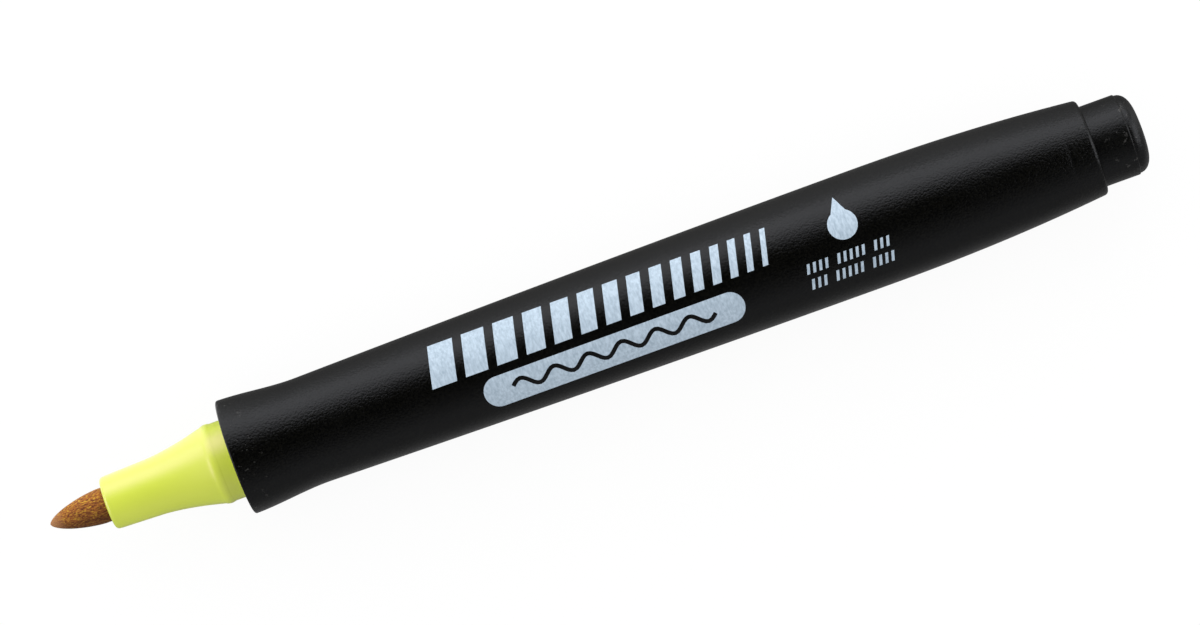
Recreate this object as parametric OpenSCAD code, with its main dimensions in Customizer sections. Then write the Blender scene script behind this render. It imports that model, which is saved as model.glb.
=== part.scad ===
// Fibre-tip marker with its cap off, lying on its side.
// Millimetres. +X runs along the pen from the nib to the tail, +Z is up, and the
// origin is on the pen's axis in the plane of the barrel's front rim.

/* [Barrel] */
// Length of the barrel from its front rim to its rear rim
barrel_l = 105; // [98:0.5:115]
// Diameter at the front rim
mouth_d = 13.8; // [13.4:0.1:15]
// Diameter at the waist, where the fingers hold
waist_d = 12.6; // [12.4:0.1:13.2]
// Distance of the waist from the front rim
waist_x = 9.6; // [7:0.1:14]
// Largest diameter
belly_d = 14; // [13.4:0.1:15]
// Distance of the largest diameter from the front rim
belly_x = 78.5; // [60:0.5:84]
// Diameter at the rear rim
tail_d = 11.4; // [11:0.1:12]
// Exponent of the swell from the waist to the belly
swell_curve = 1.8; // [1.4:0.05:2.4]
// Exponent of the taper from the belly to the rear rim
taper_curve = 2.1; // [1.6:0.05:3]
// Corner radius of the front rim
front_round = 0.25; // [0.1:0.05:0.4]
// Corner radius of the rear rim
rear_round = 0.5; // [0.2:0.05:0.6]

/* [Bore] */
// Diameter of the bore where the nose holder is pressed in
bore_d = 10.4; // [10.2:0.1:10.6]
// Diameter that the drafted bore has shrunk to at its rear end
bore_rear_d = 10; // [9.7:0.1:10.1]
// Number of ribs that hold the reservoir off the wall and leave air channels
rib_n = 6; // [4:1:8]
// Width of one rib
rib_w = 0.9; // [0.6:0.1:1.4]

/* [Nose holder] */
// Length of the holder ahead of the barrel's front rim
nose_l = 15.7; // [14:0.1:18]
// Diameter of the holder's front face
tip_d = 6.3; // [6.1:0.1:6.6]
// Diameter where the straight part ends and the flare starts
throat_d = 6.7; // [6.6:0.1:7.4]
// Length of the straight part
throat_l = 5.6; // [4:0.1:7]
// Diameter where the flare runs into the snap bead
brow_d = 9.26; // [9:0.02:9.4]
// Exponent of the flare
flare_curve = 1.67; // [1.4:0.01:2.4]
// Corner radius of the front face
tip_round = 0.45; // [0.2:0.05:0.6]
// Diameter of the snap bead that holds the cap
bead_d = 9.6; // [9.56:0.02:9.8]
// Distance of the bead's crest from the barrel's front rim
bead_x = 2.1; // [1.8:0.1:3]
// Radius of the bead's section
bead_round = 1.4; // [1:0.1:1.8]
// Diameter of the collar that the cap's skirt fits
collar_d = 9.4; // [9.2:0.05:9.45]
// Diameter of the flange that closes the barrel's mouth
flange_d = 11.2; // [11:0.1:11.8]
// Thickness of the flange
flange_t = 1.2; // [0.8:0.1:2]
// Length of the skirt behind the barrel's front rim
skirt_l = 13; // [11:0.5:16]
// Distance of the locking ring from the front rim
lock_x = 5; // [3.5:0.1:6.5]
// Length of the tight bore that grips the nib
grip_l = 10.7; // [8:0.1:12]
// Number of vent grooves along the nib, and of guide fins behind it
vent_n = 4; // [3:1:6]
// Width of one vent groove
vent_w = 0.8; // [0.5:0.1:1]
// Depth of one vent groove
vent_deep = 0.4; // [0.2:0.05:0.5]
// Thickness of one guide fin
fin_t = 0.7; // [0.5:0.1:1]
// How far the guide fins reach behind the barrel's front rim
fin_x = 5.6; // [4.5:0.1:7]

/* [Nib] */
// Diameter of the nib's rod
nib_d = 4.1; // [3.9:0.05:4.2]
// How far the nib stands out of the holder
nib_out = 7.05; // [5:0.05:9]
// Length of the ground bullet point
point_l = 6.3; // [4:0.1:8]
// Distance from the front rim to the start of the ground tail
tail_x = 3.5; // [1:0.1:4.2]
// Diameter at the end of the tail
tail_end_d = 1.2; // [0.8:0.1:1.8]
// How far the tail reaches into the reservoir
tail_in = 9.4; // [6:0.1:14]

/* [Reservoir] */
// Diameter of the wrapped reservoir
wad_d = 8.7; // [8.3:0.1:8.8]
// Thickness of the film round the fibre
film_t = 0.12; // [0.08:0.02:0.3]

/* [End plug] */
// Diameter of the post that the cap is put on
post_d = 9.72; // [9.4:0.02:10]
// Length of the post's straight wall
post_l = 4.15; // [3:0.05:6]
// Step on each side between the post and its rounded end
post_step = 0.15; // [0.05:0.05:0.3]
// Length of the rounded end
dome_l = 1.7; // [1.2:0.05:2.6]
// Diameter of the barrel's bore that takes the spigot
socket_d = 9.1; // [8.9:0.1:9.2]
// Length of the spigot inside the barrel
spigot_l = 10.5; // [8:0.5:13]
// Wall of the plug
plug_wall = 1.1; // [0.8:0.1:1.5]

/* [Fits] */
// Clearance on each side of a piece that can be drawn out
draw_gap = 0.03; // [0.02:0.01:0.06]
// Clearance on each side of a piece that stays pressed in
seat_gap = 0.02; // [0.01:0.01:0.04]
// Gap on each side between a skirt or spigot and its bore, which the rings bridge
skirt_gap = 0.1; // [0.08:0.02:0.16]
// Depth that the locking ring reaches into its groove
lock_deep = 0.15; // [0.1:0.05:0.25]
// Width of a seal ring or locking ring
ring_w = 1; // [0.8:0.1:1.4]
// Chamfer that leads an edge into its bore
lead_in = 0.4; // [0.2:0.1:0.5]

/* [Hidden] */
$fn = 96;
past = 1;        // how far a cut runs past the face that it opens
root = 0.3;      // how deep a rib, fin or ring is rooted in its wall
swell_n = 16;    // stations along a long curve
corner_n = 6;    // stations round a small corner

mouth_r = mouth_d / 2;
waist_r = waist_d / 2;
belly_r = belly_d / 2;
tail_r = tail_d / 2;
bore_r = bore_d / 2;
bore_rear_r = bore_rear_d / 2;
socket_r = socket_d / 2;
nib_r = nib_d / 2;
wad_r = wad_d / 2;
post_r = post_d / 2;
collar_r = collar_d / 2;
brow_r = brow_d / 2;
flange_r = flange_d / 2;

face_x = -nose_l;                          // holder's front face
skirt_r = bore_r - skirt_gap;
skirt_in_r = wad_r + seat_gap;
bead_c = bead_d / 2 - bead_round;          // radius of the circle of bead centres
brow_x = -bead_x - sqrt(pow(bead_round, 2) - pow(brow_r - bead_c, 2));
collar_x = -bead_x + sqrt(pow(bead_round, 2) - pow(collar_r - bead_c, 2));
grip_r = nib_r + draw_gap;
grip_end_x = face_x + grip_l;
chamber_r = grip_r + vent_deep + seat_gap; // front end of the chamber behind the grip
chamber_x = flange_t + lead_in;            // where the chamber is as wide as the skirt
wad_x = fin_x + draw_gap;                  // reservoir's front face
spigot_x = barrel_l - spigot_l;            // plug's front edge
wad_end_x = spigot_x - draw_gap;           // reservoir's rear face
spigot_r = socket_r - skirt_gap;
nib_tip_x = face_x - nib_out;
nib_end_x = wad_x + tail_in;
post_x = barrel_l + post_l;                // where the post's rounded end starts
draft_x = skirt_l + past;                  // where the bore's parallel seat ends
draft_end_x = spigot_x - lead_in;
rib_x = draft_x + lead_in;
rib_end_x = draft_end_x - lead_in;

function steps(n) = [for (i = [0:n]) i / n];
function mix(a, b, t) = a + (b - a) * t;

// Cubic from a to b whose slopes at the ends are sa and sb over the span's length.
function cubic(t, a, b, sa, sb) =
    a * (2 * pow(t, 3) - 3 * pow(t, 2) + 1) + sa * (pow(t, 3) - 2 * pow(t, 2) + t)
    + b * (3 * pow(t, 2) - 2 * pow(t, 3)) + sb * (pow(t, 3) - pow(t, 2));

// Arc of points [radius, x] from angle a to angle b; angle 0 faces away from the axis.
function arc(r, x, size, a, b) =
    [for (t = steps(corner_n)) [r + size * cos(mix(a, b, t)), x + size * sin(mix(a, b, t))]];

// The barrel's outer radius: a flared mouth, a long swell and a quicker taper.
swell_slope = swell_curve * (belly_r - waist_r) / (belly_x - waist_x);
function barrel_r(x) =
    x < waist_x ? cubic(x / waist_x, mouth_r, waist_r, 0, swell_slope * waist_x)
    : x < belly_x
        ? mix(belly_r, waist_r, pow((belly_x - x) / (belly_x - waist_x), swell_curve))
        : mix(belly_r, tail_r, pow((x - belly_x) / (barrel_l - belly_x), taper_curve));

tail_turn = atan(taper_curve * (belly_r - tail_r) / (barrel_l - belly_x));
tail_corner_x = barrel_l - rear_round;
tail_start_x = tail_corner_x + rear_round * sin(tail_turn);

// The holder's outer radius from its face to the snap bead.
function nose_line(x) = mix(tip_d, throat_d, (x - face_x) / throat_l) / 2;
function nose_r(x) =
    let (s = max(0, (x - face_x - throat_l) / (brow_x - face_x - throat_l)))
    nose_line(x) + (brow_r - nose_line(brow_x)) * pow(s, flare_curve);

// The nib's bullet point, t from 0 at the tip to 1 at the full rod.
function point_r(t) = nib_r * pow(1 - pow(1 - t, 1.5), 0.6);

// Turns a profile of points [radius, x] about the pen's axis.
module turned(points) rotate([0, 90, 0]) rotate_extrude() polygon(points);

// A ring of trapezoid section that stands out of a wall to a crest radius.
module ring(x, crest_r, wall_r)
    turned([[wall_r - root, x], [wall_r, x], [crest_r, x + ring_w / 4],
            [crest_r, x + ring_w * 3 / 4], [wall_r, x + ring_w], [wall_r - root, x + ring_w]]);

// Copies a child round the pen's axis.
module around(n, turn = 0) for (i = [0:n - 1]) rotate([turn + i * 360 / n, 0, 0]) children();

// The space that the nib's tail fills, grown by a gap and run back to x.
module nib_space(x, gap)
    turned([[0, x], [nib_r + gap, x], [nib_r + gap, tail_x],
            [tail_end_d / 2 + gap, nib_end_x], [tail_end_d / 2, nib_end_x + gap],
            [0, nib_end_x + gap]]);

module barrel_outside() turned(concat(
    [[0, 0]],
    arc(mouth_r - front_round, front_round, front_round, -90, 0),
    [for (t = steps(swell_n)) if (t > 0) let (x = mix(front_round, waist_x, t)) [barrel_r(x), x]],
    [for (t = steps(swell_n)) if (t > 0) let (x = mix(waist_x, belly_x, t)) [barrel_r(x), x]],
    [for (t = steps(swell_n)) if (t > 0 && t < 1)
        let (x = mix(belly_x, tail_start_x, t)) [barrel_r(x), x]],
    arc(barrel_r(tail_start_x) - rear_round * cos(tail_turn), tail_corner_x, rear_round,
        tail_turn, 90),
    [[0, barrel_l]]));

// The bore: flange seat, parallel seat for the skirt with the groove that its locking ring
// snaps into, drafted tube, socket for the plug.
module barrel_bore()
    let (groove_r = bore_r + lock_deep + seat_gap, groove_x = lock_x - seat_gap,
         groove_w = ring_w + 2 * seat_gap)
    turned([[0, -past], [flange_r + seat_gap, -past], [flange_r + seat_gap, flange_t + seat_gap],
            [bore_r, flange_t + seat_gap], [bore_r, groove_x],
            [groove_r, groove_x + ring_w / 4], [groove_r, groove_x + groove_w - ring_w / 4],
            [bore_r, groove_x + groove_w], [bore_r, draft_x], [bore_rear_r, draft_end_x],
            [socket_r, spigot_x], [socket_r, barrel_l + past], [0, barrel_l + past]]);

module barrel() color("#1b1c1e") {
    difference() {
        barrel_outside();
        barrel_bore();
    }
    around(rib_n, 180 / rib_n)
        translate([rib_x, -rib_w / 2, wad_r + seat_gap])
            cube([rib_end_x - rib_x, rib_w, bore_r + root - wad_r - seat_gap]);
}

module nose_outside() turned(concat(
    [[0, face_x]],
    arc(tip_d / 2 - tip_round, face_x + tip_round, tip_round, -90, 0),
    [for (t = steps(swell_n)) if (t > 0)
        let (x = mix(face_x + throat_l, brow_x, t)) [nose_r(x), x]],
    [for (t = steps(corner_n)) if (t > 0)
        let (x = mix(brow_x, collar_x, t)) [bead_c + sqrt(pow(bead_round, 2) - pow(x + bead_x, 2)), x]],
    [[collar_r, 0], [flange_r, 0], [flange_r, flange_t], [skirt_r, flange_t],
     [skirt_r, skirt_l - lead_in], [skirt_r - lead_in, skirt_l], [0, skirt_l]]));

// The chamber behind the grip, which widens until the reservoir's front end fits in it.
module nose_chamber() turned([
    [0, grip_end_x], [chamber_r, grip_end_x], [skirt_in_r, chamber_x],
    [skirt_in_r, skirt_l + past], [0, skirt_l + past]]);

module nose_holder() color("#d6e455") {
    difference() {
        union() {
            nose_outside();
            ring(lock_x, bore_r + lock_deep, skirt_r);
            for (x = [lock_x + 2 * ring_w, lock_x + 4 * ring_w]) ring(x, bore_r - seat_gap, skirt_r);
        }
        nose_chamber();
        nib_space(face_x - past, draw_gap);
        around(vent_n)
            translate([face_x - past, -vent_w / 2, 0])
                cube([grip_l + 2 * past, vent_w, grip_r + vent_deep]);
    }
    difference() {
        intersection() {
            around(vent_n, 180 / vent_n)
                translate([grip_end_x - root, -fin_t / 2, nib_r / 2])
                    cube([fin_x - grip_end_x + root, fin_t, skirt_r]);
            turned([[0, grip_end_x - root], [chamber_r + root, grip_end_x - root],
                    [skirt_in_r + root, chamber_x], [skirt_in_r + root, fin_x], [0, fin_x]]);
        }
        nib_space(face_x - past, draw_gap);
    }
}

module nib() color("#a8692f") turned(concat(
    [for (t = steps(swell_n)) [point_r(pow(t, 2)), mix(nib_tip_x, nib_tip_x + point_l, pow(t, 2))]],
    [[nib_r, tail_x], [tail_end_d / 2, nib_end_x], [0, nib_end_x]]));

module reservoir_core() color("#e9e6d8") difference() {
    turned([[0, wad_x], [wad_r - film_t, wad_x], [wad_r - film_t, wad_end_x], [0, wad_end_x]]);
    nib_space(fin_x - past, draw_gap);
}

module reservoir_wrap() color("#f4f4f2") turned([
    [wad_r - film_t, wad_x], [wad_r, wad_x], [wad_r, wad_end_x], [wad_r - film_t, wad_end_x]]);

module end_plug() color("#202123") difference() {
    union() {
        turned(concat(
            [[0, spigot_x], [spigot_r - lead_in, spigot_x], [spigot_r, spigot_x + lead_in],
             [spigot_r, barrel_l], [post_r, barrel_l], [post_r, post_x]],
            [for (t = steps(swell_n)) if (t < 1)
                [(post_r - post_step) * pow(cos(90 * t), 0.5), post_x + post_step + dome_l * sin(90 * t)]],
            [[0, post_x + post_step + dome_l]]));
        for (x = [spigot_x + 2 * ring_w, spigot_x + 5 * ring_w])
            ring(x, socket_r - draw_gap, spigot_r);
    }
    turned([[0, spigot_x - past], [spigot_r - plug_wall, spigot_x - past],
            [spigot_r - plug_wall, post_x - plug_wall], [spigot_r - 2 * plug_wall, post_x],
            [0, post_x]]);
}

barrel();
nose_holder();
nib();
reservoir_core();
reservoir_wrap();
end_plug();
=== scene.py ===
import math
import bmesh
import bpy
from mathutils import Matrix, Vector


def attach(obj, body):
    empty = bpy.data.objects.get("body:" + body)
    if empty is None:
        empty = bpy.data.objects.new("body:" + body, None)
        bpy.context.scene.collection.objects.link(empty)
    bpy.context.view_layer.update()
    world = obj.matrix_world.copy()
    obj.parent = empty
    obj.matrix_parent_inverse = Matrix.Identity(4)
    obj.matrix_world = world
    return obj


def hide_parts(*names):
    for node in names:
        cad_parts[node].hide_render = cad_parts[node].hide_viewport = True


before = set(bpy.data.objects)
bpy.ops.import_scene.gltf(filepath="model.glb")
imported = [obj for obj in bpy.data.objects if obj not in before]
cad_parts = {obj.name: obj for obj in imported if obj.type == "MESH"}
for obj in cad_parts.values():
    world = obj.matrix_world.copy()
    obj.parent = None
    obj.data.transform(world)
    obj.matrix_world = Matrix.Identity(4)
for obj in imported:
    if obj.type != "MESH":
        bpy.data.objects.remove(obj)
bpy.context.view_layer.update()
mm = 0.001
mergeGap = 0.001 * mm  # points closer than this are one
turnedSmooth = math.radians(28)  # edges of turned pieces flatter than this are smoothed
ringWide, ringFlank = 1, 0.25  # a moulded ring along the axis, and each of its sloped flanks


def deselectAll():
    if bpy.context.object and bpy.context.object.mode != "OBJECT":
        bpy.ops.object.mode_set(mode="OBJECT")
    bpy.ops.object.select_all(action="DESELECT")


def pick(piece):
    deselectAll()
    piece.select_set(True)
    bpy.context.view_layer.objects.active = piece


def mix(a, b, t):
    return a + (b - a) * t


def between(a, b, steps):
    # evenly spaced stations after a, up to and with b
    return [mix(a, b, i / steps) for i in range(1, steps + 1)]


def startAtPoint(name, point):
    # a plane merged to one vertex, left in edit mode
    deselectAll()
    bpy.ops.mesh.primitive_plane_add(size=mm, location=(0, 0, 0))
    piece = bpy.context.object
    piece.name = name
    piece.data.name = name
    bpy.ops.object.mode_set(mode="EDIT")
    bpy.ops.mesh.select_all(action="SELECT")
    bpy.ops.mesh.merge(type="CENTER")
    bpy.ops.transform.translate(value=point)
    return piece


def extrudeAlong(points):
    for here, there in zip(points, points[1:]):
        step = [b - a for a, b in zip(here, there)]
        bpy.ops.mesh.extrude_vertices_move(TRANSFORM_OT_translate={"value": step})


def cleanUp():
    bpy.ops.mesh.select_all(action="SELECT")
    bpy.ops.mesh.remove_doubles(threshold=mergeGap)
    bpy.ops.mesh.normals_make_consistent(inside=False)
    bpy.ops.object.mode_set(mode="OBJECT")


def turnOnAxis(name, profile, sides):
    # the profile is (x, radius) in millimetres, spun round the pen's axis
    points = [(x * mm, 0, radius * mm) for x, radius in profile]
    piece = startAtPoint(name, points[0])
    extrudeAlong(points)
    bpy.ops.mesh.select_all(action="SELECT")
    bpy.ops.mesh.spin(steps=sides, angle=math.tau, center=(0, 0, 0), axis=(1, 0, 0))
    cleanUp()
    bpy.ops.object.shade_smooth_by_angle(angle=turnedSmooth)
    return piece


def addBlock(name, low, high, turn):
    # a box between two corners in millimetres, turned round the pen's axis
    deselectAll()
    centre = [(a + b) / 2 * mm for a, b in zip(low, high)]
    bpy.ops.mesh.primitive_cube_add(size=1, location=centre)
    block = bpy.context.object
    block.name = name
    block.scale = [(b - a) * mm for a, b in zip(low, high)]
    bpy.ops.object.transform_apply(location=True, rotation=True, scale=True)
    block.rotation_euler = (math.radians(turn), 0, 0)
    bpy.ops.object.transform_apply(location=True, rotation=True, scale=True)
    return block


def joinAll(pieces):
    pick(pieces[0])
    for piece in pieces:
        piece.select_set(True)
    bpy.ops.object.join()
    return bpy.context.object


def combine(piece, tool, operation):
    pick(piece)
    step = piece.modifiers.new(operation.lower(), "BOOLEAN")
    step.operation = operation
    step.solver = "EXACT"
    step.object = tool
    bpy.ops.object.modifier_apply(modifier=step.name)
    bpy.data.objects.remove(tool)


def smoothAgain(piece):
    pick(piece)
    bpy.ops.object.mode_set(mode="EDIT")
    cleanUp()
    bpy.ops.object.shade_smooth_by_angle(angle=turnedSmooth)


def arcPoints(x, radius, size, start, end, steps):
    # angle 0 faces away from the axis, 90 towards the tail
    turns = [math.radians(mix(start, end, i / steps)) for i in range(steps + 1)]
    return [(x + size * math.sin(t), radius + size * math.cos(t)) for t in turns]


def ringSteps(x, low, crest):
    # the corners of one raised or sunk ring that starts at x
    return [(x, low), (x + ringFlank, crest), (x + ringWide - ringFlank, crest), (x + ringWide, low)]


def newMaterial(name):
    material = bpy.data.materials.new(name)
    material.use_nodes = True
    nodes = material.node_tree.nodes
    return material, nodes, material.node_tree.links, nodes["Principled BSDF"]


def addNode(nodes, kind, **settings):
    node = nodes.new(kind)
    for key, value in settings.items():
        if key in node.inputs:
            node.inputs[key].default_value = value
        else:
            setattr(node, key, value)
    return node


def addRamp(nodes, levels, *colors):
    # one color at each level of the pattern
    node = nodes.new("ShaderNodeValToRGB")
    while len(node.color_ramp.elements) < len(colors):
        node.color_ramp.elements.new(0.5)
    for element, level, color in zip(node.color_ramp.elements, levels, colors):
        element.position = level
        element.color = (*color, 1)
    return node


def addNoise(nodes, links, place, scale, detail, roughness, stretch=(1, 1, 1)):
    along = addNode(nodes, "ShaderNodeMapping", Scale=stretch)
    links.new(place.outputs["Object"], along.inputs["Vector"])
    noise = addNode(nodes, "ShaderNodeTexNoise", Scale=scale, Detail=detail, Roughness=roughness)
    links.new(along.outputs["Vector"], noise.inputs["Vector"])
    return noise.outputs["Fac"]


def addRange(nodes, links, source, fromLow, fromHigh, toLow, toHigh):
    node = nodes.new("ShaderNodeMapRange")
    for socket, value in (("From Min", fromLow), ("From Max", fromHigh), ("To Min", toLow), ("To Max", toHigh)):
        node.inputs[socket].default_value = value
    links.new(source, node.inputs["Value"])
    return node.outputs["Result"]


def times(nodes, links, first, second):
    node = addNode(nodes, "ShaderNodeMath", operation="MULTIPLY")
    links.new(first, node.inputs[0])
    if isinstance(second, (int, float)):
        node.inputs[1].default_value = second
    else:
        links.new(second, node.inputs[1])
    return node.outputs[0]


def larger(nodes, links, first, second):
    node = addNode(nodes, "ShaderNodeMath", operation="MAXIMUM")
    links.new(first, node.inputs[0])
    links.new(second, node.inputs[1])
    return node.outputs[0]


def blendColors(nodes, links, share, first, second):
    node = addNode(nodes, "ShaderNodeMix", data_type="RGBA")
    links.new(share, node.inputs["Factor"])
    links.new(first, node.inputs[6])
    if isinstance(second, tuple):
        node.inputs[7].default_value = (*second, 1)
    else:
        links.new(second, node.inputs[7])
    return node.outputs[2]


def roughen(nodes, links, shader, heights):
    # each height is a pattern and its depth in metres
    normal = None
    for height, depth in heights:
        bump = addNode(nodes, "ShaderNodeBump", Strength=1, Distance=depth)
        links.new(height, bump.inputs["Height"])
        if normal:
            links.new(normal, bump.inputs["Normal"])
        normal = bump.outputs["Normal"]
    links.new(normal, shader.inputs["Normal"])


def dress(piece, material):
    piece.data.materials.clear()
    piece.data.materials.append(material)


print("materials")

barrelLook = {
    "color": (0.0003, 0.0003, 0.0001), "smudge": (0.0022, 0.0021, 0.0013), "worn": (0.028, 0.027, 0.025),
    "roughness": 0.215, "gloss": 0.31, "tint": (0.91, 0.93, 1),
    "grainScale": 4000, "grainDepth": 0.00006, "grainLevels": (0.4, 0.62),
    "cloudScale": 260, "cloudLevels": (0.3, 0.7), "cloudSwing": (-0.03, 0.04),
    "scuffScale": 1500, "scuffLevels": (0.63, 0.68), "scuffDepth": 0.00001, "rareScuffs": 0.04,
    "wornEnds": (0.0045, 0.1035), "frontFade": 0.003, "rearFade": 0.002,
}


def blackPlastic(name, look):
    material, nodes, links, shader = newMaterial(name)
    place = addNode(nodes, "ShaderNodeTexCoord")
    grain = addNoise(nodes, links, place, look["grainScale"], 2, 0.6)
    cloud = addNoise(nodes, links, place, look["cloudScale"], 4, 0.55)
    tone = addRamp(nodes, look["grainLevels"], look["color"], look["smudge"])
    links.new(grain, tone.inputs["Fac"])
    # small scuffs, thick near the two ends and rare between them
    parts = addNode(nodes, "ShaderNodeSeparateXYZ")
    links.new(place.outputs["Object"], parts.inputs[0])
    front, rear = look["wornEnds"]
    nearFront = addRange(nodes, links, parts.outputs["X"], front - look["frontFade"], front, 1, 0)
    nearRear = addRange(nodes, links, parts.outputs["X"], rear, rear + look["rearFade"], 0, 1)
    nearEnd = larger(nodes, links, nearFront, nearRear)
    specks = addNoise(nodes, links, place, look["scuffScale"], 3, 0.7, (1, 1, 0.5))
    marks = addRange(nodes, links, specks, *look["scuffLevels"], 0, 1)
    scuffs = times(nodes, links, marks, addRange(nodes, links, nearEnd, 0, 1, look["rareScuffs"], 1))
    color = blendColors(nodes, links, scuffs, tone.outputs["Color"], look["worn"])
    links.new(color, shader.inputs["Base Color"])
    smoother, rougher = [look["roughness"] + swing for swing in look["cloudSwing"]]
    links.new(addRange(nodes, links, cloud, *look["cloudLevels"], smoother, rougher),
              shader.inputs["Roughness"])
    roughen(nodes, links, shader, [(grain, look["grainDepth"]), (scuffs, look["scuffDepth"])])
    shader.inputs["Specular IOR Level"].default_value = look["gloss"]
    shader.inputs["Specular Tint"].default_value = (*look["tint"], 1)
    return material


noseLook = {
    "color": (0.534, 0.670, 0.001), "warm": (0.554, 0.690, 0.003),
    "roughness": 0.39, "gloss": 1, "bend": 1.66, "tint": (1, 0.3, 1), "coat": 0.45, "coatRoughness": 0.38,
    "sheen": 0.08, "sheenTint": (1, 0.6, 1), "sheenRoughness": 0.4,
    "grainScale": 2600, "grainDepth": 0.000002, "cloudScale": 190, "cloudLevels": (0.35, 0.7),
}


def yellowPlastic(name, look):
    material, nodes, links, shader = newMaterial(name)
    place = addNode(nodes, "ShaderNodeTexCoord")
    cloud = addNoise(nodes, links, place, look["cloudScale"], 3, 0.5)
    tone = addRamp(nodes, look["cloudLevels"], look["color"], look["warm"])
    links.new(cloud, tone.inputs["Fac"])
    links.new(tone.outputs["Color"], shader.inputs["Base Color"])
    grain = addNoise(nodes, links, place, look["grainScale"], 2, 0.5)
    roughen(nodes, links, shader, [(grain, look["grainDepth"])])
    shader.inputs["Roughness"].default_value = look["roughness"]
    shader.inputs["Specular IOR Level"].default_value = look["gloss"]
    shader.inputs["Specular Tint"].default_value = (*look["tint"], 1)
    shader.inputs["IOR"].default_value = look["bend"]
    shader.inputs["Coat Weight"].default_value = look["coat"]
    shader.inputs["Coat Roughness"].default_value = look["coatRoughness"]
    shader.inputs["Sheen Weight"].default_value = look["sheen"]
    shader.inputs["Sheen Tint"].default_value = (*look["sheenTint"], 1)
    shader.inputs["Sheen Roughness"].default_value = look["sheenRoughness"]
    return material


nibLook = {
    "dark": (0.10, 0.026, 0.009), "mid": (0.27, 0.078, 0.016), "ochre": (0.50, 0.23, 0.028),
    # the last colour on the next line is multiplied in as a painted shade on the -Y side
    "fleck": (0.62, 0.36, 0.03), "tip": (0.36, 0.18, 0.085), "paintedShade": (0.36, 0.33, 0.36),
    "roughness": 0.66, "gloss": 0.15,
    "fibreScale": 9000, "stretch": 0.16, "fibreLevels": (0.38, 0.5, 0.64), "fibreDepth": 0.00004,
    "fleckScale": 4800, "fleckLevels": (0.54, 0.66), "fleckShare": 0.8,
    # the band in metres across which the -Y side's painted shade fades, and the noise that makes its border
    # ragged
    "paintedShadeFrom": -0.0004, "paintedShadeTo": 0.0022, "raggedScale": 900, "ragged": 0.0016,
    "tipFrom": -0.0226, "tipTo": -0.0208, "tipShare": 0.7,
}


def brownFibre(name, look):
    material, nodes, links, shader = newMaterial(name)
    place = addNode(nodes, "ShaderNodeTexCoord")
    fibre = addNoise(nodes, links, place, look["fibreScale"], 4, 0.7, (look["stretch"], 1, 1))
    parts = addNode(nodes, "ShaderNodeSeparateXYZ")
    links.new(place.outputs["Object"], parts.inputs[0])
    tone = addRamp(nodes, look["fibreLevels"], look["dark"], look["mid"], look["ochre"])
    links.new(fibre, tone.inputs["Fac"])
    flecks = addRange(nodes, links, addNoise(nodes, links, place, look["fleckScale"], 3, 0.6, (0.6, 1, 1)),
                      *look["fleckLevels"], 0, look["fleckShare"])
    flecked = blendColors(nodes, links, flecks, tone.outputs["Color"], look["fleck"])
    # painted shade: the -Y side is darker, with a ragged border
    edge = addNoise(nodes, links, place, look["raggedScale"], 3, 0.6, (0.4, 1, 1))
    ragged = addNode(nodes, "ShaderNodeMath", operation="MULTIPLY_ADD")
    links.new(edge, ragged.inputs[0])
    ragged.inputs[1].default_value = look["ragged"]
    links.new(parts.outputs["Y"], ragged.inputs[2])
    shade = addRamp(nodes, (0, 1), look["paintedShade"], (1, 1, 1))
    links.new(addRange(nodes, links, ragged.outputs[0], look["paintedShadeFrom"], look["paintedShadeTo"], 0, 1),
              shade.inputs["Fac"])
    paintedShade = addNode(nodes, "ShaderNodeMix", data_type="RGBA", blend_type="MULTIPLY")
    paintedShade.inputs[0].default_value = 1
    links.new(flecked, paintedShade.inputs[6])
    links.new(shade.outputs["Color"], paintedShade.inputs[7])
    # the tip is plainer and paler
    paleTip = addRange(nodes, links, parts.outputs["X"], look["tipFrom"], look["tipTo"], look["tipShare"], 0)
    color = blendColors(nodes, links, paleTip, paintedShade.outputs[2], look["tip"])
    links.new(color, shader.inputs["Base Color"])
    roughen(nodes, links, shader, [(fibre, look["fibreDepth"])])
    shader.inputs["Roughness"].default_value = look["roughness"]
    shader.inputs["Specular IOR Level"].default_value = look["gloss"]
    return material


inkLook = {
    "color": (0.29, 0.37, 0.45), "bright": (0.44, 0.535, 0.63), "roughness": 0.5, "metallic": 0.1,
    "brushScale": 3600, "brushLevels": (0.35, 0.65), "brushDepth": 0.00001,
}


def silverInk(name, look):
    material, nodes, links, shader = newMaterial(name)
    place = addNode(nodes, "ShaderNodeTexCoord")
    brush = addNoise(nodes, links, place, look["brushScale"], 4, 0.65, (1, 0.3, 1))
    tone = addRamp(nodes, look["brushLevels"], look["color"], look["bright"])
    links.new(brush, tone.inputs["Fac"])
    links.new(tone.outputs["Color"], shader.inputs["Base Color"])
    roughen(nodes, links, shader, [(brush, look["brushDepth"])])
    shader.inputs["Roughness"].default_value = look["roughness"]
    shader.inputs["Metallic"].default_value = look["metallic"]
    return material


wadLook = {
    "color": (0.66, 0.62, 0.50), "pale": (0.88, 0.86, 0.78), "roughness": 0.8, "gloss": 0.2,
    "fibreScale": 4500, "stretch": 0.04, "fibreLevels": (0.35, 0.6), "fibreDepth": 0.00006,
}


def paleFibre(name, look):
    material, nodes, links, shader = newMaterial(name)
    place = addNode(nodes, "ShaderNodeTexCoord")
    fibre = addNoise(nodes, links, place, look["fibreScale"], 3, 0.7, (look["stretch"], 1, 1))
    tone = addRamp(nodes, look["fibreLevels"], look["color"], look["pale"])
    links.new(fibre, tone.inputs["Fac"])
    links.new(tone.outputs["Color"], shader.inputs["Base Color"])
    roughen(nodes, links, shader, [(fibre, look["fibreDepth"])])
    shader.inputs["Roughness"].default_value = look["roughness"]
    shader.inputs["Specular IOR Level"].default_value = look["gloss"]
    return material


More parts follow.
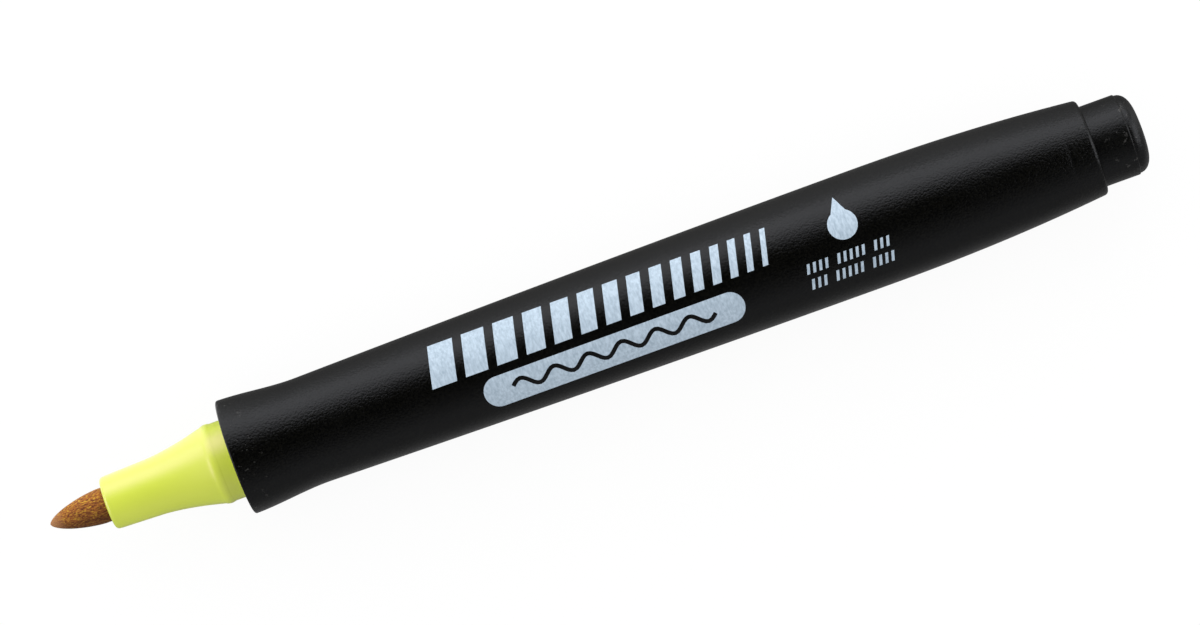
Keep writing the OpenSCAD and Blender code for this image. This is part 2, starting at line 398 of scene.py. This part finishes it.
filmLook = {
    "color": (0.86, 0.86, 0.83), "crease": (0.93, 0.93, 0.91), "roughness": 0.22, "clear": 0.55,
    "rippleScale": 420, "rippleLevels": (0.4, 0.6), "rippleDepth": 0.00003,
}


def clearFilm(name, look):
    material, nodes, links, shader = newMaterial(name)
    place = addNode(nodes, "ShaderNodeTexCoord")
    ripple = addNoise(nodes, links, place, look["rippleScale"], 2, 0.5, (0.3, 1, 1))
    tone = addRamp(nodes, look["rippleLevels"], look["color"], look["crease"])
    links.new(ripple, tone.inputs["Fac"])
    links.new(tone.outputs["Color"], shader.inputs["Base Color"])
    roughen(nodes, links, shader, [(ripple, look["rippleDepth"])])
    shader.inputs["Roughness"].default_value = look["roughness"]
    shader.inputs["Transmission Weight"].default_value = look["clear"]
    return material


plugLook = {
    **barrelLook, "roughness": 0.29, "gloss": 0.34, "grainDepth": 0.00005, "wornEnds": (-1, 0.1055),
}

barrelPlastic = blackPlastic("barrelPlastic", barrelLook)
plugPlastic = blackPlastic("plugPlastic", plugLook)
nosePlastic = yellowPlastic("nosePlastic", noseLook)
nibFibre = brownFibre("nibFibre", nibLook)
printInk = silverInk("printInk", inkLook)
wadFibre = paleFibre("wadFibre", wadLook)
wrapFilm = clearFilm("wrapFilm", filmLook)


barrelShape = {
    "length": 105, "mouth": 6.9, "waist": 6.3, "waistX": 9.6, "belly": 7, "bellyX": 78.5,
    "tail": 5.7, "swell": 1.8, "taper": 2.1, "frontRound": 0.25, "rearRound": 0.5,
    "flangeSeat": 5.62, "flangeDeep": 1.22, "bore": 5.2, "grooveX": 4.98, "groove": 5.37,
    "grooveWide": 1.04, "seatEnd": 14, "rearBore": 5, "rearBoreX": 94.1, "socket": 4.55,
    "socketX": 94.5, "witnessX": 102, "witnessDeep": 0.02, "witnessWide": 0.12, "sides": 160,
    "ribs": 6, "ribWide": 0.9, "ribStart": 14.4, "ribEnd": 93.7, "ribInner": 4.37, "ribRoot": 5.35,
}


def barrelRadius(x):
    # a smooth step from the mouth to the waist, then the swell to the belly and the taper to the tail
    s = barrelShape
    swellSlope = s["swell"] * (s["belly"] - s["waist"]) / (s["bellyX"] - s["waistX"])
    if x < s["waistX"]:
        t = x / s["waistX"]
        return (s["mouth"] * (2 * t**3 - 3 * t**2 + 1) + s["waist"] * (3 * t**2 - 2 * t**3)
                + swellSlope * s["waistX"] * (t**3 - t**2))
    if x < s["bellyX"]:
        t = (s["bellyX"] - x) / (s["bellyX"] - s["waistX"])
        return mix(s["belly"], s["waist"], t ** s["swell"])
    t = (x - s["bellyX"]) / (s["length"] - s["bellyX"])
    return mix(s["belly"], s["tail"], t ** s["taper"])


def barrelProfile():
    s = barrelShape
    tailTurn = math.atan(s["taper"] * (s["belly"] - s["tail"]) / (s["length"] - s["bellyX"]))
    cornerX = s["length"] - s["rearRound"]
    cornerStart = cornerX + s["rearRound"] * math.sin(tailTurn)
    stations = (between(s["frontRound"], s["waistX"], 20) + between(s["waistX"], s["bellyX"], 60)
                + between(s["bellyX"], s["witnessX"] - s["witnessWide"], 24))
    outside = arcPoints(s["frontRound"], s["mouth"] - s["frontRound"], s["frontRound"], -90, 0, 6)
    outside += [(x, barrelRadius(x)) for x in stations]
    outside.append((s["witnessX"], barrelRadius(s["witnessX"]) - s["witnessDeep"]))
    stations = [s["witnessX"] + s["witnessWide"]] + between(s["witnessX"] + s["witnessWide"], cornerStart, 5)
    outside += [(x, barrelRadius(x)) for x in stations[:-1]]
    outside += arcPoints(cornerX, barrelRadius(cornerStart) - s["rearRound"] * math.cos(tailTurn),
                         s["rearRound"], math.degrees(tailTurn), 90, 8)
    grooveEnd = s["grooveX"] + s["grooveWide"]
    inside = [(s["length"], s["socket"]), (s["socketX"], s["socket"]), (s["rearBoreX"], s["rearBore"]),
              (s["seatEnd"], s["bore"]), (grooveEnd, s["bore"]), (grooveEnd - ringFlank, s["groove"]),
              (s["grooveX"] + ringFlank, s["groove"]), (s["grooveX"], s["bore"]),
              (s["flangeDeep"], s["bore"]), (s["flangeDeep"], s["flangeSeat"]), (0, s["flangeSeat"])]
    return outside + inside + outside[:1]


def addBarrelRibs(piece):
    s = barrelShape
    ribs = [addBlock("rib", (s["ribStart"], -s["ribWide"] / 2, s["ribInner"]),
                     (s["ribEnd"], s["ribWide"] / 2, s["ribRoot"]), 360 * (i + 0.5) / s["ribs"])
            for i in range(s["ribs"])]
    combine(piece, joinAll(ribs), "UNION")


print("barrel")
barrelShell = turnOnAxis("barrelShell", barrelProfile(), barrelShape["sides"])
addBarrelRibs(barrelShell)
smoothAgain(barrelShell)
dress(barrelShell, barrelPlastic)
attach(barrelShell, "barrel")
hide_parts("barrel")


noseShape = {
    "faceX": -15.7, "tip": 3.15, "throat": 3.35, "throatLong": 5.6, "brow": 4.63, "flare": 1.67,
    "tipRound": 0.45, "bead": 4.8, "beadX": -2.1, "beadRound": 1.4, "collar": 4.7,
    "flange": 5.6, "flangeThick": 1.2, "skirt": 5.1, "skirtEnd": 13, "leadIn": 0.4,
    "grip": 2.08, "gripEnd": -5, "chamber": 2.5, "chamberX": 1.6, "skirtInner": 4.37,
    "rings": ((5, 5.35), (7, 5.18), (9, 5.18)),  # start and crest: one lock ring, two seal rings
    "vents": 4, "ventWide": 0.8, "ventDeep": 0.4, "ventInner": 0.6, "ventPast": 1,
    "finThick": 0.7, "finEnd": 5.6, "finRoot": 0.3, "finLow": 1.4, "finHigh": 5.2,
    "finBore": 1.7, "boreNarrowX": 3.5, "finHidden": 0.12, "finGap": 0.03, "finGapLong": 0.2,
    "sides": 144, "finSides": 72,
}


def noseProfile():
    s = noseShape
    beadCentre = s["bead"] - s["beadRound"]
    browX = s["beadX"] - math.sqrt(s["beadRound"]**2 - (s["brow"] - beadCentre)**2)
    collarX = s["beadX"] + math.sqrt(s["beadRound"]**2 - (s["collar"] - beadCentre)**2)

    def line(x):
        return mix(s["tip"], s["throat"], (x - s["faceX"]) / s["throatLong"])

    def flared(x):
        t = max(0, (x - s["faceX"] - s["throatLong"]) / (browX - s["faceX"] - s["throatLong"]))
        return line(x) + (s["brow"] - line(browX)) * t ** s["flare"]

    outside = arcPoints(s["faceX"] + s["tipRound"], s["tip"] - s["tipRound"], s["tipRound"], -90, 0, 8)
    outside += [(x, flared(x)) for x in between(s["faceX"] + s["tipRound"], browX, 40)]
    outside += [(x, beadCentre + math.sqrt(s["beadRound"]**2 - (x - s["beadX"])**2))
                for x in between(browX, collarX, 12)]
    rings = [(0, s["collar"]), (0, s["flange"]), (s["flangeThick"], s["flange"]),
             (s["flangeThick"], s["skirt"])]
    for ringX, crest in s["rings"]:
        rings += ringSteps(ringX, s["skirt"], crest)
    rings += [(s["skirtEnd"] - s["leadIn"], s["skirt"]), (s["skirtEnd"], s["skirt"] - s["leadIn"])]
    inside = [(s["skirtEnd"], s["skirtInner"]), (s["chamberX"], s["skirtInner"]),
              (s["gripEnd"], s["chamber"]), (s["gripEnd"], s["grip"]), (s["faceX"], s["grip"])]
    return outside + rings + inside + outside[:1]


def cutVents(piece):
    s = noseShape
    low = (s["faceX"] - s["ventPast"], -s["ventWide"] / 2, s["grip"] - s["ventInner"])
    high = (s["gripEnd"] + s["ventPast"], s["ventWide"] / 2, s["grip"] + s["ventDeep"])
    grooves = [addBlock("vent", low, high, 360 * i / s["vents"]) for i in range(s["vents"])]
    combine(piece, joinAll(grooves), "DIFFERENCE")


def addFins(piece):
    # fins that guide the rod's tail, trimmed inside to its clearance and outside to lie in the walls
    s = noseShape
    front = s["gripEnd"] - s["finRoot"]
    low, high = (front, -s["finThick"] / 2, s["finLow"]), (s["finEnd"], s["finThick"] / 2, s["finHigh"])
    fins = joinAll([addBlock("fin", low, high, 360 * (i + 0.5) / s["vents"]) for i in range(s["vents"])])
    wall = s["skirtInner"] + s["finRoot"]
    hidden = s["grip"] + s["finHidden"]  # in the wall ahead of the chamber
    sleeve = turnOnAxis("sleeve", [(front, hidden), (front, s["chamber"] + s["finRoot"]),
                                   (s["chamberX"], wall), (s["finEnd"], wall), (s["finEnd"], s["finBore"]),
                                   (s["boreNarrowX"], s["grip"]), (s["gripEnd"] + s["finGapLong"], s["grip"]),
                                   (s["gripEnd"], s["grip"] + s["finGap"]), (front, hidden)], s["finSides"])
    combine(fins, sleeve, "INTERSECT")
    combine(piece, fins, "UNION")


print("nose holder")
noseHolder = turnOnAxis("noseHolder", noseProfile(), noseShape["sides"])
cutVents(noseHolder)
addFins(noseHolder)
smoothAgain(noseHolder)
dress(noseHolder, nosePlastic)
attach(noseHolder, "barrel")
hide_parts("nose_holder")


nibShape = {
    "radius": 2.05, "tipX": -22.75, "pointLong": 6.3, "tailX": 3.5, "tailEnd": 15.03,
    "tailRadius": 0.6, "fullness": 1.5, "bluntness": 0.6, "pointSteps": 40, "sides": 96,
}


def nibProfile():
    s = nibShape
    profile = []
    for i in range(s["pointSteps"] + 1):
        t = (i / s["pointSteps"]) ** 2  # stations close together at the tip
        radius = s["radius"] * (1 - (1 - t) ** s["fullness"]) ** s["bluntness"]
        profile.append((mix(s["tipX"], s["tipX"] + s["pointLong"], t), radius))
    profile += [(x, s["radius"]) for x in between(s["tipX"] + s["pointLong"], s["tailX"], 24)]
    profile += [(s["tailEnd"], s["tailRadius"]), (s["tailEnd"], 0)]
    return profile


print("nib")
nibRod = turnOnAxis("nibRod", nibProfile(), nibShape["sides"])
dress(nibRod, nibFibre)
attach(nibRod, "nib")
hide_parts("nib")


wadShape = {
    "frontX": 5.63, "rearX": 94.47, "radius": 4.35, "film": 0.12, "edge": 0.35, "pressX": 15.06,
    "pressMouth": 1.69, "pressEnd": 0.63, "sides": 96,
}

print("reservoir")
s = wadShape
wadSide = s["radius"] - s["film"]
inkWad = turnOnAxis("inkWad", [(s["pressX"], 0), (s["pressX"], s["pressEnd"]), (s["frontX"], s["pressMouth"]),
                               (s["frontX"], wadSide - s["edge"])]
                    + arcPoints(s["frontX"] + s["edge"], wadSide - s["edge"], s["edge"], -80, 0, 4)
                    + [(x, wadSide) for x in between(s["frontX"] + s["edge"], s["rearX"] - s["edge"], 12)]
                    + arcPoints(s["rearX"] - s["edge"], wadSide - s["edge"], s["edge"], 10, 90, 4)
                    + [(s["rearX"], 0)], s["sides"])
dress(inkWad, wadFibre)
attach(inkWad, "barrel")
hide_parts("reservoir_core")

filmSleeve = turnOnAxis("filmSleeve", [(s["frontX"], s["radius"])]
                        + [(x, s["radius"]) for x in between(s["frontX"], s["rearX"], 12)]
                        + [(s["rearX"], wadSide), (s["frontX"], wadSide), (s["frontX"], s["radius"])],
                        s["sides"])
dress(filmSleeve, wrapFilm)
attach(filmSleeve, "barrel")
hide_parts("reservoir_wrap")


plugShape = {
    "frontX": 94.5, "spigot": 4.45, "leadIn": 0.4, "seal": 4.52, "rimX": 105, "post": 4.86,
    "postLong": 4.15, "step": 0.15, "dome": 1.7, "domeSteps": 24, "wall": 1.1, "rings": (2, 5), "sides": 144,
}


def plugProfile():
    s = plugShape
    postX = s["rimX"] + s["postLong"]
    outside = [(s["frontX"], s["spigot"] - s["leadIn"]), (s["frontX"] + s["leadIn"], s["spigot"])]
    for ring in s["rings"]:
        outside += ringSteps(s["frontX"] + ring, s["spigot"], s["seal"])
    outside += [(s["rimX"], s["spigot"]), (s["rimX"], s["post"])]
    outside += [(x, s["post"]) for x in between(s["rimX"], postX, 6)]
    for i in range(s["domeSteps"]):
        turn = math.radians(90 * i / s["domeSteps"])
        outside.append((postX + s["step"] + s["dome"] * math.sin(turn),
                        (s["post"] - s["step"]) * math.cos(turn) ** 0.5))
    outside.append((postX + s["step"] + s["dome"], 0))
    hollow = s["spigot"] - s["wall"]
    inside = [(postX, 0), (postX, hollow - s["wall"]), (postX - s["wall"], hollow), (s["frontX"], hollow)]
    return inside + outside


print("end plug")
endPlug = turnOnAxis("endPlug", plugProfile(), plugShape["sides"])
dress(endPlug, plugPlastic)
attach(endPlug, "end_plug")
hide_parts("end_plug")


printLayout = {
    "proud": 0.02, "thick": 0.035, "cell": (3, 0.55), "drawnAt": 12, "smooth": 30,
    "bars": {"start": 24.4, "end": 66.3, "top": 4.45, "bottom": -0.4, "lean": 1.0, "widest": 2.8,
             "slimmest": 0.6, "slimming": 0.8, "gap": 1.1, "count": 15, "closer": 0.35},
    "pill": {"start": 29.7, "end": 61.3, "top": -1.4, "bottom": -4.9},
    "wave": {"start": 33.2, "end": 57.8, "high": 0.62, "line": 0.5, "waves": 6},
    "drop": {"x": 74.8, "y": 1.4, "size": 1.75, "peak": 3.2875, "arc": (-240, 60), "steps": 24},
    "ticks": {"start": 69.1, "end": 80.2, "rows": (-2.1, -3.9), "tall": 1.15, "wide": 0.34, "step": 0.74,
              "lean": 0.3, "group": 6},
}


def outlineLoop(points):
    # a closed row of edges at z 0, added to the mesh in edit mode
    mesh = bmesh.from_edit_mesh(bpy.context.object.data)
    for vertex in mesh.verts:
        vertex.select = False
    first = mesh.verts.new((points[0][0] * mm, points[0][1] * mm, 0))
    first.select = True
    bmesh.update_edit_mesh(bpy.context.object.data)
    extrudeAlong([(x * mm, y * mm, 0) for x, y in points] + [(points[0][0] * mm, points[0][1] * mm, 0)])


def layPrint(name, outlines):
    # flat outlines filled, cut in a grid, laid on the barrel and given the ink's thickness
    deselectAll()
    bpy.ops.mesh.primitive_plane_add(size=mm)
    piece = bpy.context.object
    piece.name = name
    piece.data.name = name
    bpy.ops.object.mode_set(mode="EDIT")
    bpy.ops.mesh.select_all(action="SELECT")
    bpy.ops.mesh.delete(type="VERT")
    for points in outlines:
        outlineLoop(points)
    bpy.ops.mesh.select_all(action="SELECT")
    bpy.ops.mesh.remove_doubles(threshold=mergeGap)
    bpy.ops.mesh.fill()
    low = [min(p[axis] for points in outlines for p in points) for axis in (0, 1)]
    high = [max(p[axis] for points in outlines for p in points) for axis in (0, 1)]
    for axis in (1, 0):
        cell = printLayout["cell"][axis]
        for i in range(1, math.ceil((high[axis] - low[axis]) / cell)):
            at = [0, 0, 0]
            at[axis] = (low[axis] + i * cell) * mm
            bpy.ops.mesh.select_all(action="SELECT")
            bpy.ops.mesh.bisect(plane_co=at, plane_no=(1 - axis, axis, 0))
    bpy.ops.mesh.select_all(action="SELECT")
    bpy.ops.transform.translate(value=(0, 0, printLayout["drawnAt"] * mm))
    cleanUp()
    wrap = piece.modifiers.new("lay", "SHRINKWRAP")
    wrap.target = barrelShell
    wrap.wrap_method = "PROJECT"
    wrap.use_project_z = True
    wrap.use_positive_direction = False
    wrap.use_negative_direction = True
    wrap.wrap_mode = "ABOVE_SURFACE"
    wrap.offset = printLayout["proud"] * mm
    bpy.ops.object.modifier_apply(modifier=wrap.name)
    bpy.ops.object.mode_set(mode="EDIT")
    bpy.ops.mesh.select_all(action="SELECT")
    bpy.ops.mesh.normals_make_consistent(inside=False)
    bpy.ops.object.mode_set(mode="OBJECT")
    if sum(face.normal.z * face.area for face in piece.data.polygons) < 0:
        bpy.ops.object.mode_set(mode="EDIT")
        bpy.ops.mesh.flip_normals()
        bpy.ops.object.mode_set(mode="OBJECT")
    skin = piece.modifiers.new("ink", "SOLIDIFY")
    skin.thickness = printLayout["thick"] * mm
    skin.offset = -1
    bpy.ops.object.modifier_apply(modifier=skin.name)
    bpy.ops.object.shade_smooth_by_angle(angle=math.radians(printLayout["smooth"]))
    dress(piece, printInk)
    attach(piece, "barrel")
    return piece


def slantedBar(x, low, high, wide, lean):
    return [(x, low), (x + wide, low), (x + wide + lean, high), (x + lean, high)]


def barRow():
    # bars that go from broad to slim, side by side with even gaps
    s = printLayout["bars"]
    shares = [(i / (s["count"] - 1)) ** s["slimming"] for i in range(s["count"])]
    widths = [mix(s["widest"], s["slimmest"], share) for share in shares]
    room = s["end"] - s["start"] - s["lean"] - s["gap"] * (s["count"] - 1)
    widths = [width * room / sum(widths) for width in widths]
    bars, x = [], s["start"]
    for width in widths:
        closer = s["closer"] * len(bars) / (s["count"] - 1)
        bars.append(slantedBar(x, s["bottom"] + closer, s["top"] - closer, width, s["lean"]))
        x += width + s["gap"]
    return bars


def pillWithWave():
    s, w = printLayout["pill"], printLayout["wave"]
    radius, middle = (s["top"] - s["bottom"]) / 2, (s["top"] + s["bottom"]) / 2
    edge = []
    for centre, first in ((s["end"] - radius, -90), (s["start"] + radius, 90)):
        for i in range(17):
            turn = math.radians(first + 180 * i / 16)
            edge.append((centre + radius * math.cos(turn), middle + radius * math.sin(turn)))
    steps = w["waves"] * 12
    crest = []
    for i in range(steps + 1):
        x = mix(w["start"], w["end"], i / steps)
        swing = math.tau * w["waves"] * i / steps
        slope = w["high"] * math.cos(swing) * math.tau * w["waves"] / (w["end"] - w["start"])
        reach = w["line"] / 2 / math.hypot(1, slope)
        crest.append((x, middle + w["high"] * math.sin(swing), -slope * reach, reach))
    hole = [(x + dx, y + dy) for x, y, dx, dy in crest]
    hole += [(x - dx, y - dy) for x, y, dx, dy in reversed(crest)]
    return [edge, hole]


def inkDrop():
    s = printLayout["drop"]
    points = []
    for i in range(s["steps"] + 1):
        turn = math.radians(mix(*s["arc"], i / s["steps"]))
        points.append((s["x"] + s["size"] * math.cos(turn), s["y"] + s["size"] * math.sin(turn)))
    points.append((s["x"], s["y"] + s["peak"]))
    return [points]


def tickRows():
    # even ticks, with one in each six left out, so that they stand in groups
    s = printLayout["ticks"]
    count = int((s["end"] - s["start"] - s["lean"]) / s["step"])
    ticks = []
    for row in s["rows"]:
        low, high = row - s["tall"] / 2, row + s["tall"] / 2
        ticks += [slantedBar(s["start"] + i * s["step"], low, high, s["wide"], s["lean"])
                  for i in range(count) if (i + int(-row)) % s["group"]]
    return ticks


print("print")
layPrint("printBars", barRow())
layPrint("printPill", pillWithWave())
layPrint("printDrop", inkDrop())
layPrint("printTicks", tickRows())


print("studio")

studio = {
    "floorZ": -7.05, "floorSize": 6, "floorColor": 0.85, "cameraShare": 0.93,
    "fill": 0.84, "wallsInMirror": 0.4, "boxDistance": 0.55, "boxX": 0.05,
    "cameraAt": (0.05687, 0.00009, 0.657), "aimAt": (0.04527, 0.00139, 0), "roll": 19.932, "lens": 171,
}
# how brightly the floor glows in mirrors, by its place in metres: painted shade near the pen, a painted pool of
# light further out on the +Y side, and painted glowing patches ahead of the nose and after the tail, brighter
# than white, which give those ends their highlights
floorInMirror = {
    "before": 0.25, "behind": 0.16, "far": 0.78, "ahead": 1.7,
    "nearY": (-0.012, 0.010), "farY": (0.012, 0.042),
    "aheadX": (-0.008, 0), "aheadY": (-0.006, 0.008), "aheadBefore": 0.12,
    "afterX": (0.113, 0.135), "afterY": (-0.006, 0.004), "afterBefore": 0.2,
}
# each softbox: its heading round the pen, the angles of its two edges from straight above,
# its length, its radiance
softboxes = {
    "upperSoftbox": (90, 46, 86, 1.1, 1.8), "edgeSoftbox": (90, 30, 46, 1.1, 0.9),
    "noseSoftbox": (180, 48, 88, 0.4, 1.8), "tailSoftbox": (0, 42, 88, 0.4, 1.7),
}


def addFloor():
    # white to the camera but for a faint shadow; in mirrors it glows by place, with painted shade near the pen
    # and painted light patches further off
    deselectAll()
    bpy.ops.mesh.primitive_plane_add(size=studio["floorSize"], location=(0, 0, studio["floorZ"] * mm))
    floor = bpy.context.object
    floor.name = "studioFloor"
    material = bpy.data.materials.new("floorPaper")
    material.use_nodes = True
    nodes, links = material.node_tree.nodes, material.node_tree.links
    nodes.clear()
    rays = nodes.new("ShaderNodeLightPath")
    seen = larger(nodes, links, rays.outputs["Is Camera Ray"], rays.outputs["Is Transmission Ray"])
    mirror = rays.outputs["Is Glossy Ray"]
    share = larger(nodes, links, times(nodes, links, seen, studio["cameraShare"]), mirror)
    place = nodes.new("ShaderNodeTexCoord")
    parts = nodes.new("ShaderNodeSeparateXYZ")
    links.new(place.outputs["Object"], parts.inputs[0])
    m = floorInMirror
    along, across = parts.outputs["X"], parts.outputs["Y"]
    # painted shade near the pen, and a painted pool of light further out on the +Y side, both seen only in
    # mirrors
    near = addRange(nodes, links, across, *m["nearY"], m["before"], m["behind"])
    far = addRange(nodes, links, across, *m["farY"], m["behind"], m["far"])
    # painted glow: patches ahead of the nose and after the tail, brighter than white in mirrors, give those
    # ends their highlights
    ahead = times(nodes, links, addRange(nodes, links, along, *m["aheadX"], m["ahead"], 0),
                  addRange(nodes, links, across, *m["aheadY"], m["aheadBefore"], 1))
    after = times(nodes, links, addRange(nodes, links, along, *m["afterX"], 0, m["far"]),
                  addRange(nodes, links, across, *m["afterY"], m["afterBefore"], 1))
    paintedMirrorGlow = larger(nodes, links, larger(nodes, links, near, far), larger(nodes, links, ahead, after))
    strength = larger(nodes, links, seen, times(nodes, links, mirror, paintedMirrorGlow))
    paper = addNode(nodes, "ShaderNodeBsdfDiffuse", Color=(*[studio["floorColor"]] * 3, 1))
    glow = addNode(nodes, "ShaderNodeEmission", Color=(1, 1, 1, 1))
    links.new(strength, glow.inputs["Strength"])
    both = nodes.new("ShaderNodeMixShader")
    out = nodes.new("ShaderNodeOutputMaterial")
    links.new(share, both.inputs[0])
    links.new(paper.outputs[0], both.inputs[1])
    links.new(glow.outputs[0], both.inputs[2])
    links.new(both.outputs[0], out.inputs["Surface"])
    dress(floor, material)


def addRoom():
    # white to the camera, an even fill, and in mirrors dark overhead with paler walls
    world = bpy.data.worlds.new("studioRoom")
    bpy.context.scene.world = world
    world.use_nodes = True
    nodes, links = world.node_tree.nodes, world.node_tree.links
    nodes.clear()
    rays = nodes.new("ShaderNodeLightPath")
    seen = larger(nodes, links, rays.outputs["Is Camera Ray"], rays.outputs["Is Transmission Ray"])
    fill = times(nodes, links, rays.outputs["Is Diffuse Ray"], studio["fill"])
    place = nodes.new("ShaderNodeTexCoord")
    parts = nodes.new("ShaderNodeSeparateXYZ")
    links.new(place.outputs["Generated"], parts.inputs[0])
    height = times(nodes, links, parts.outputs["Z"], parts.outputs["Z"])
    side = addNode(nodes, "ShaderNodeMath", operation="SUBTRACT")
    side.inputs[0].default_value = 1
    links.new(height, side.inputs[1])
    walls = times(nodes, links, times(nodes, links, side.outputs[0], studio["wallsInMirror"]),
                  rays.outputs["Is Glossy Ray"])
    strength = larger(nodes, links, larger(nodes, links, seen, fill), walls)
    room = addNode(nodes, "ShaderNodeBackground", Color=(1, 1, 1, 1))
    out = nodes.new("ShaderNodeOutputWorld")
    links.new(strength, room.inputs["Strength"])
    links.new(room.outputs[0], out.inputs["Surface"])


def addSoftbox(name, heading, lowAngle, highAngle, long, radiance):
    s = studio
    out = Vector((math.cos(math.radians(heading)), math.sin(math.radians(heading)), 0))
    low, high = math.radians(lowAngle), math.radians(highAngle)
    up = Vector((0, 0, 1))
    lowEdge = (out * math.sin(low) + up * math.cos(low)) * s["boxDistance"]
    highEdge = (out * math.sin(high) + up * math.cos(high)) * s["boxDistance"]
    middle = (lowEdge + highEdge) / 2
    across = (highEdge - lowEdge).normalized()
    side = out.cross(up).normalized()
    back = side.cross(across).normalized()
    if back.dot(middle) < 0:
        side, back = -side, -back
    deselectAll()
    bpy.ops.object.light_add(type="AREA")
    lamp = bpy.context.object
    lamp.name = name
    lamp.data.shape = "RECTANGLE"
    lamp.data.size = long
    lamp.data.size_y = (highEdge - lowEdge).length
    lamp.data.energy = radiance * math.pi * lamp.data.size * lamp.data.size_y
    turn = Matrix((side, across, back)).transposed().to_4x4()
    lamp.matrix_world = Matrix.Translation(middle + Vector((s["boxX"], 0, 0))) @ turn


def addCamera():
    s = studio
    roll = math.radians(s["roll"])
    position, target = Vector(s["cameraAt"]), Vector(s["aimAt"])
    back = (position - target).normalized()
    right = Vector((math.sin(roll), math.cos(roll), 0)).cross(back).normalized()
    up = back.cross(right)
    deselectAll()
    bpy.ops.object.camera_add()
    camera = bpy.context.object
    camera.name = "photoCamera"
    camera.matrix_world = Matrix.Translation(position) @ Matrix((right, up, back)).transposed().to_4x4()
    camera.data.lens = s["lens"]
    camera.data.clip_start = 0.01
    camera.data.clip_end = 20
    bpy.context.scene.camera = camera


addFloor()
addRoom()
for boxName, settings in softboxes.items():
    addSoftbox(boxName, *settings)
addCamera()
bpy.context.scene.view_settings.view_transform = "Standard"
